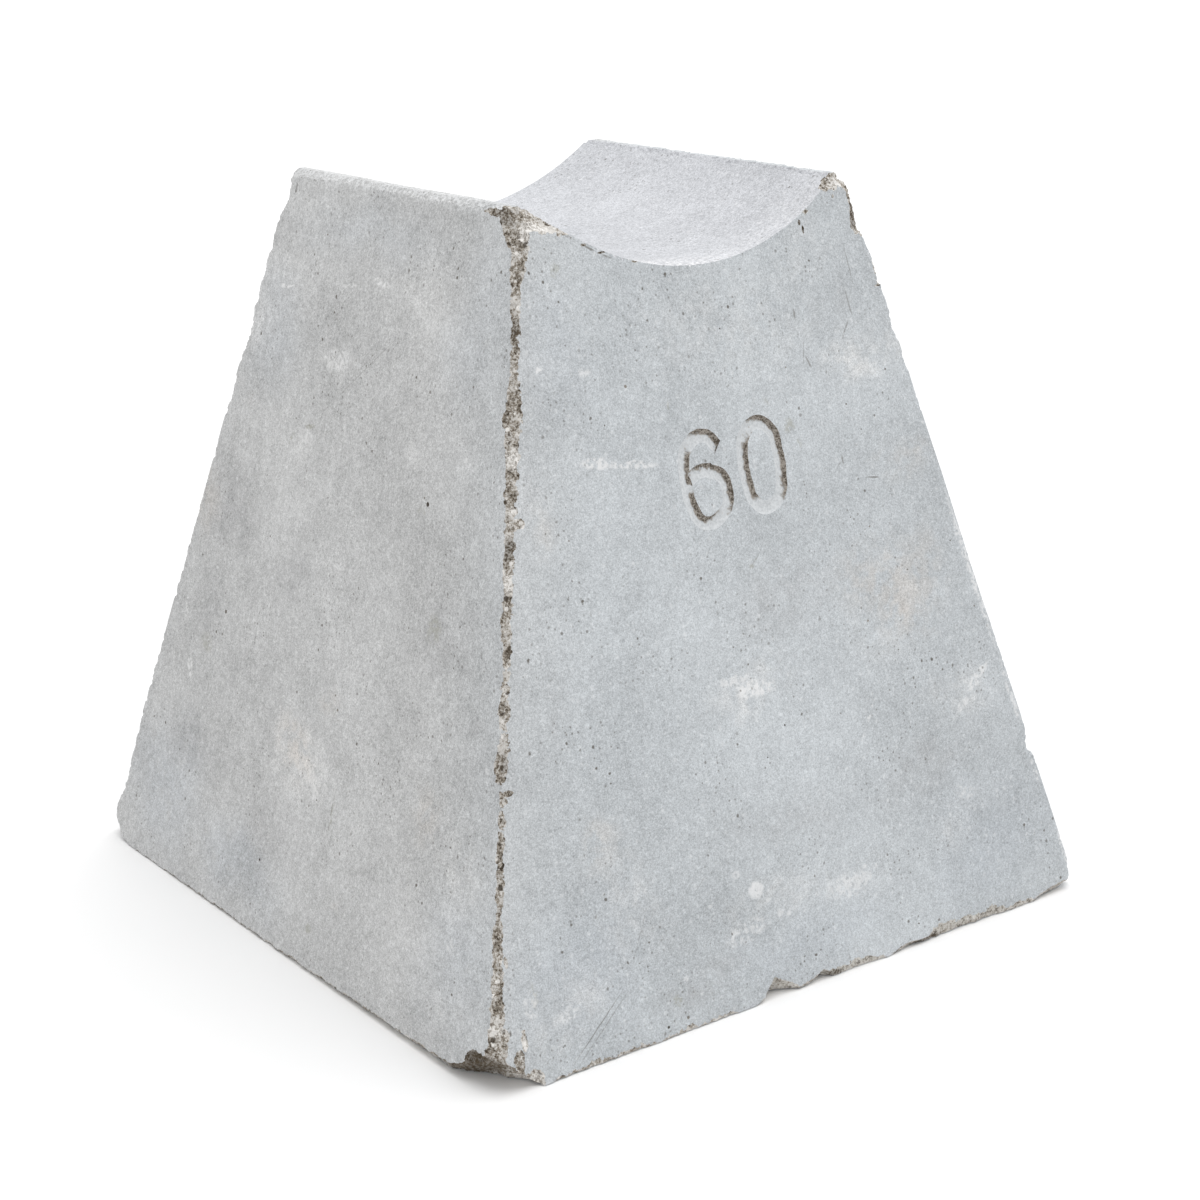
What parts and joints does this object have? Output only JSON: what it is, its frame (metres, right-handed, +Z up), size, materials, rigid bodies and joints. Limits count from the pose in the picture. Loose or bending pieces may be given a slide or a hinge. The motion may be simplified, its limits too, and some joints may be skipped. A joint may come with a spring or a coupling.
{
  "type": "concrete rebar spacer",
  "caption": "Tapered concrete cover block with a shallow saddle across its top that carries a reinforcing bar 60 mm above the formwork.",
  "frame": {"origin": "middle of the base, on the plane that the block stands on", "axes": "+Z up, from the base to the saddle; Y along the bar that lies in the saddle; -Y is the end face with the size figure"},
  "size_m": [0.066, 0.069, 0.066],
  "materials": {
    "cast_concrete": "matt, as cast"
  },
  "bodies": {
    "root": {"spacer_block": "cast_concrete"}
  },
  "joints": []
}
